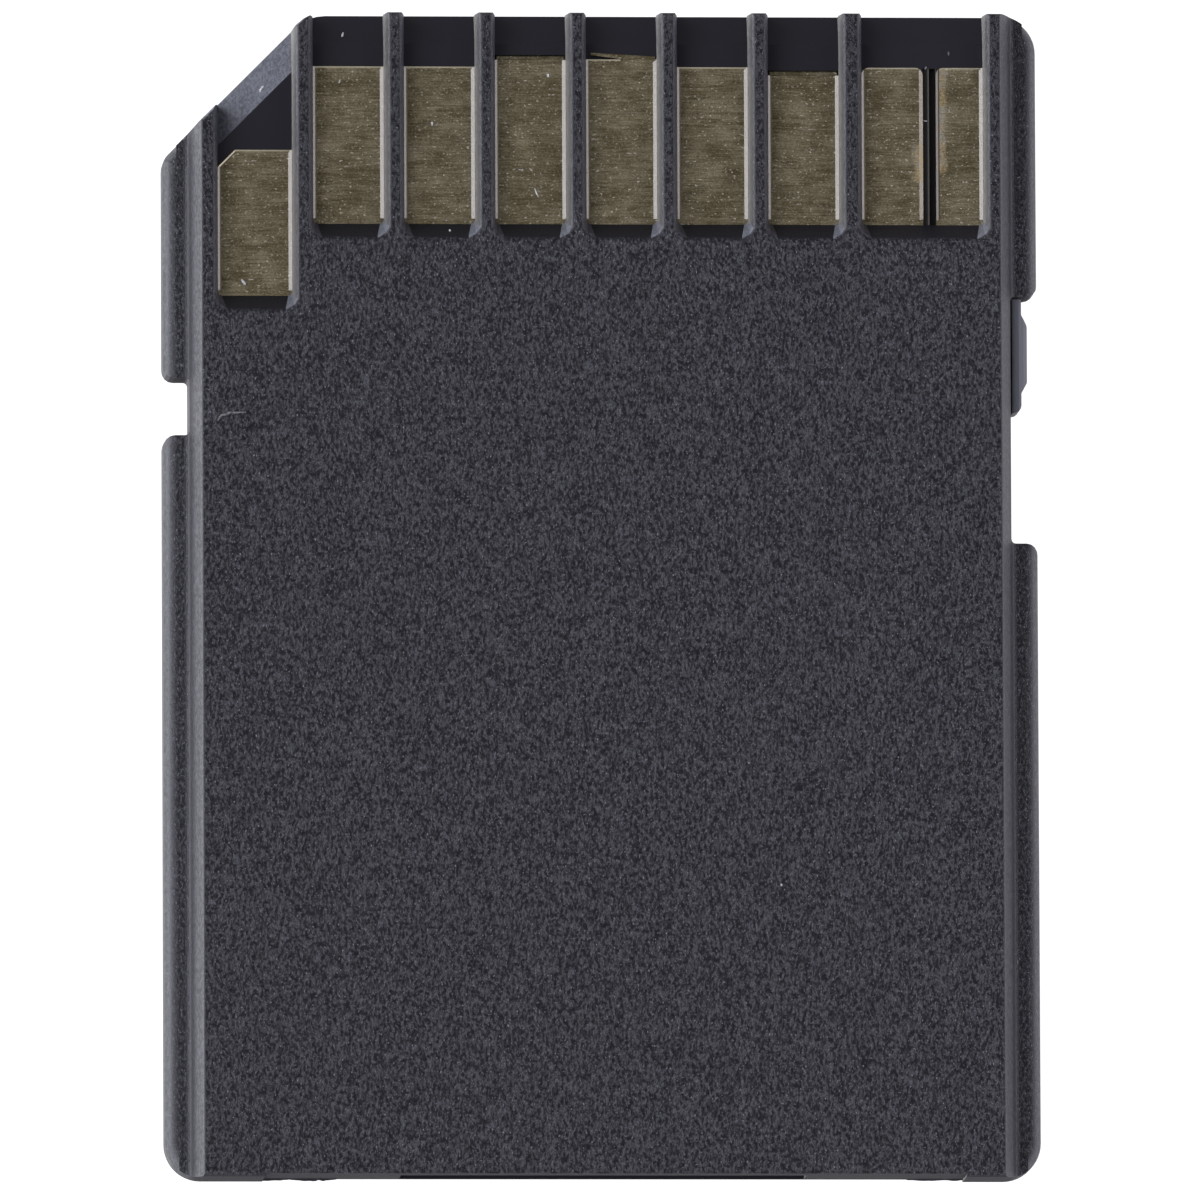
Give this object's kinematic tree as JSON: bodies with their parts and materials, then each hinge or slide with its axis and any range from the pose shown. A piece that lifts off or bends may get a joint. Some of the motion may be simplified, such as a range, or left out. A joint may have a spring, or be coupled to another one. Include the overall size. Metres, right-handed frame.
{
  "type": "memory card adapter",
  "caption": "Flat memory card adapter with a cut corner, open contact windows, stamped spring contacts, a write-protect slider and a rear slot for a smaller card.",
  "frame": {"origin": "middle of the card's outline, on the flat label face it lies on", "axes": "+Y towards the contact end, +Z out of the contact side, +X towards the write-protect slider"},
  "size_m": [0.024, 0.032, 0.0021],
  "materials": {
    "shell_plastic": "fine spark-eroded grain",
    "slider_plastic": "smooth",
    "contact_metal": "brushed along the rolling direction, worn"
  },
  "bodies": {
    "adapter": {"contact_side_shell": "shell_plastic", "label_side_shell": "shell_plastic", "data_2_contact": "contact_metal", "data_3_contact": "contact_metal", "command_contact": "contact_metal", "supply_contact": "contact_metal", "clock_contact": "contact_metal", "ground_contact": "contact_metal", "data_0_contact": "contact_metal", "data_1_contact": "contact_metal"},
    "slider": {"write_protect_slider": "slider_plastic"}
  },
  "joints": [
    {"name": "write_protect_slide", "type": "slide", "parent": "adapter", "child": "slider", "axis": [0, -1, 0], "range_m": [0, 0.0033]}
  ]
}
